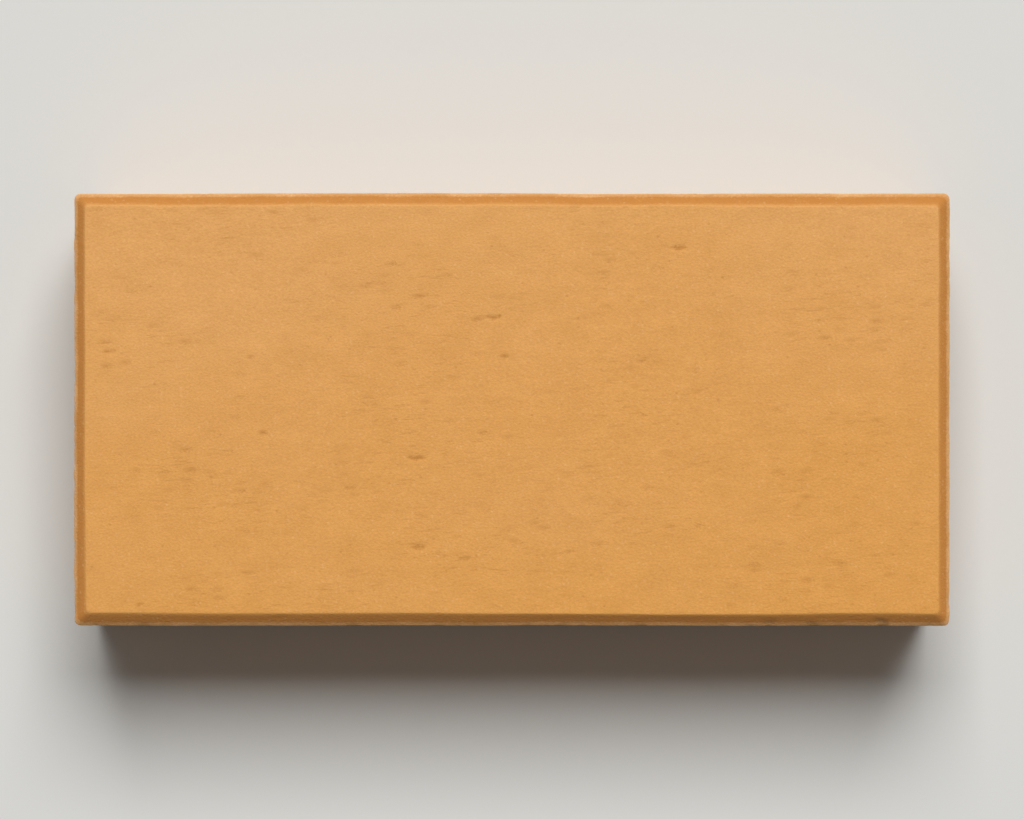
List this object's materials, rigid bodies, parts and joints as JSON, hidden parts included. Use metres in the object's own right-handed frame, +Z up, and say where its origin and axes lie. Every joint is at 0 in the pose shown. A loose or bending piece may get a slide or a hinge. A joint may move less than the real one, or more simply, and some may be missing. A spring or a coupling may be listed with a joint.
{
  "type": "clay paving brick",
  "caption": "Rectangular fired-clay paving brick with bevelled top edges and a flat bed, laid flat in a bond to surface paths, yards and drives.",
  "frame": {"origin": "middle of the bed, the flat underside that rests on the ground", "axes": "+X along the brick's length, +Y across its width, +Z up through the wearing face"},
  "size_m": [0.198, 0.098, 0.05],
  "materials": {
    "fired_clay": "matte"
  },
  "bodies": {
    "root": {"paving_brick": "fired_clay"}
  },
  "joints": []
}
